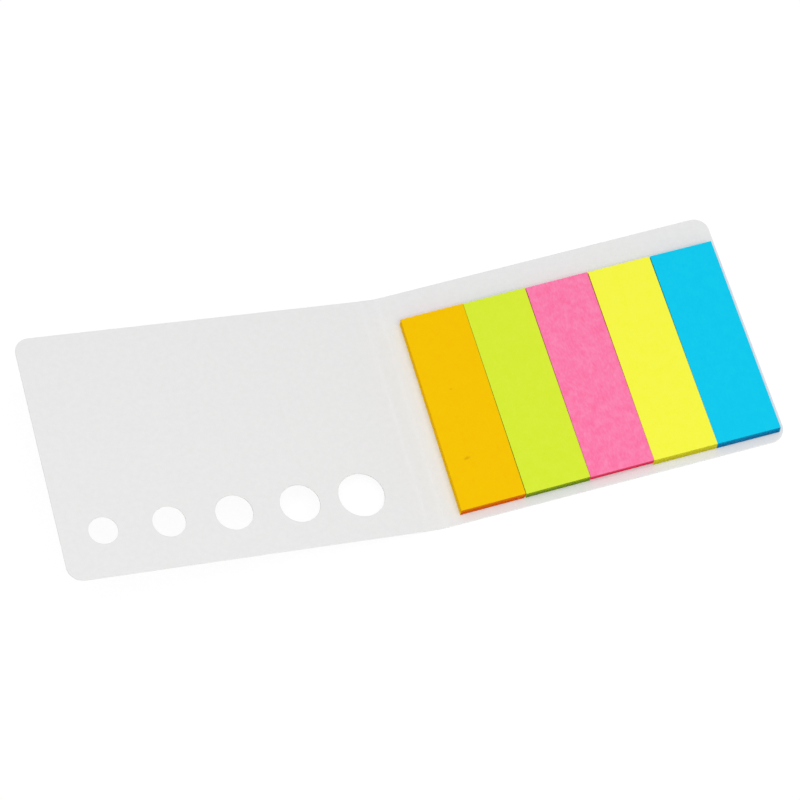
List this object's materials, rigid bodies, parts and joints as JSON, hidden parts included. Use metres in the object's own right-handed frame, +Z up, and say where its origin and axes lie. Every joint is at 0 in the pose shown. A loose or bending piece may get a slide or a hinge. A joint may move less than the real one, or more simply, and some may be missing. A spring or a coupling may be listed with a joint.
{
  "type": "sticky note set",
  "caption": "Row of slim sticky note pads in different colours inside a folding card cover with a narrow spine and round windows.",
  "frame": {"origin": "centre of the back cover's underside, at mount rest_face", "axes": "+Z up out of the cover; +X along the row of pads, away from the fold; +Y towards the pads' gummed ends"},
  "size_m": [0.1628, 0.06, 0.0239],
  "materials": {
    "card": "matt coated card",
    "orange_paper": "dyed uncoated paper",
    "green_paper": "dyed uncoated paper",
    "pink_paper": "dyed uncoated paper",
    "yellow_paper": "dyed uncoated paper",
    "blue_paper": "dyed uncoated paper"
  },
  "bodies": {
    "back": {"back_cover": "card", "orange_pad": "orange_paper", "green_pad": "green_paper", "pink_pad": "pink_paper", "yellow_pad": "yellow_paper", "blue_pad": "blue_paper"},
    "spine": {"spine": "card"},
    "front": {"front_cover": "card"}
  },
  "joints": [
    {"name": "spine_fold", "type": "hinge", "parent": "back", "child": "spine", "pos_m": [-0.04, 0, 0.0004], "axis": [0, 1, 0], "range_deg": [-12.5, 77.5]},
    {"name": "cover_fold", "type": "hinge", "parent": "spine", "child": "front", "pos_m": [-0.04391, 0, 0.00127], "axis": [0, 1, 0], "range_deg": [-3.5, 86.5]}
  ]
}
